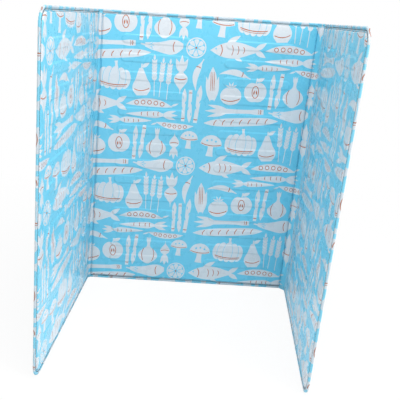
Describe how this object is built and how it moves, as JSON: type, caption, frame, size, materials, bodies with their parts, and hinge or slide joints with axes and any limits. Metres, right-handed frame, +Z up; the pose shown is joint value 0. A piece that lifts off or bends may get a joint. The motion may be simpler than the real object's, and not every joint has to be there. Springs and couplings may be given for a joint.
{
  "type": "folding splash guard",
  "caption": "Folding splash guard with a back panel and two wings of film-covered board, joined by soft film folds, standing in a U round a stove.",
  "frame": {"origin": "middle of the back panel's bottom edge, on the surface it stands on", "axes": "+Z up, +X to the right seen from the front, -Y towards the cook: the back panel lies in the XZ plane and the wings reach out along -Y"},
  "size_m": [0.4699, 0.374, 0.54],
  "materials": {
    "core_board": "matt grey board",
    "foil": "bright pressed foil",
    "front_film": "glossy printed film",
    "rear_film": "glossy printed film",
    "binding": "glossy printed film strip, folded and sewn",
    "thread": "pale sewing thread"
  },
  "bodies": {
    "back_panel": {"back_core_board": "core_board", "back_foil_sheet": "foil", "back_front_film": "front_film", "back_rear_film": "rear_film", "back_bottom_binding": "binding", "back_top_binding": "binding", "back_bottom_needle_thread": "thread", "back_bottom_bobbin_thread": "thread", "back_top_needle_thread": "thread", "back_top_bobbin_thread": "thread"},
    "left_fold": {"left_fold_front_film": "front_film", "left_fold_rear_film": "rear_film", "left_fold_bottom_binding": "binding", "left_fold_top_binding": "binding"},
    "left_wing": {"left_core_board": "core_board", "left_foil_sheet": "foil", "left_front_film": "front_film", "left_rear_film": "rear_film", "left_binding": "binding", "left_needle_thread": "thread", "left_bobbin_thread": "thread"},
    "right_fold": {"right_fold_front_film": "front_film", "right_fold_rear_film": "rear_film", "right_fold_bottom_binding": "binding", "right_fold_top_binding": "binding"},
    "right_wing": {"right_core_board": "core_board", "right_foil_sheet": "foil", "right_front_film": "front_film", "right_rear_film": "rear_film", "right_binding": "binding", "right_needle_thread": "thread", "right_bobbin_thread": "thread"}
  },
  "joints": [
    {"name": "left_inner_crease", "type": "hinge", "parent": "back_panel", "child": "left_fold", "pos_m": [-0.2, 0, 0], "axis": [0, 0, 1], "range_deg": [-41, 49]},
    {"name": "left_outer_crease", "type": "hinge", "parent": "left_fold", "child": "left_wing", "pos_m": [-0.20604, -0.00525, 0], "axis": [0, 0, 1], "range_deg": [-41, 49]},
    {"name": "right_inner_crease", "type": "hinge", "parent": "back_panel", "child": "right_fold", "pos_m": [0.2, 0, 0], "axis": [0, 0, -1], "range_deg": [-49.5, 40.5]},
    {"name": "right_outer_crease", "type": "hinge", "parent": "right_fold", "child": "right_wing", "pos_m": [0.20951, -0.01114, 0], "axis": [0, 0, -1], "range_deg": [-49.5, 40.5]}
  ],
  "couplings": [
    {"joint": "left_outer_crease", "follows": "left_inner_crease", "ratio": 1},
    {"joint": "right_outer_crease", "follows": "right_inner_crease", "ratio": 1}
  ]
}
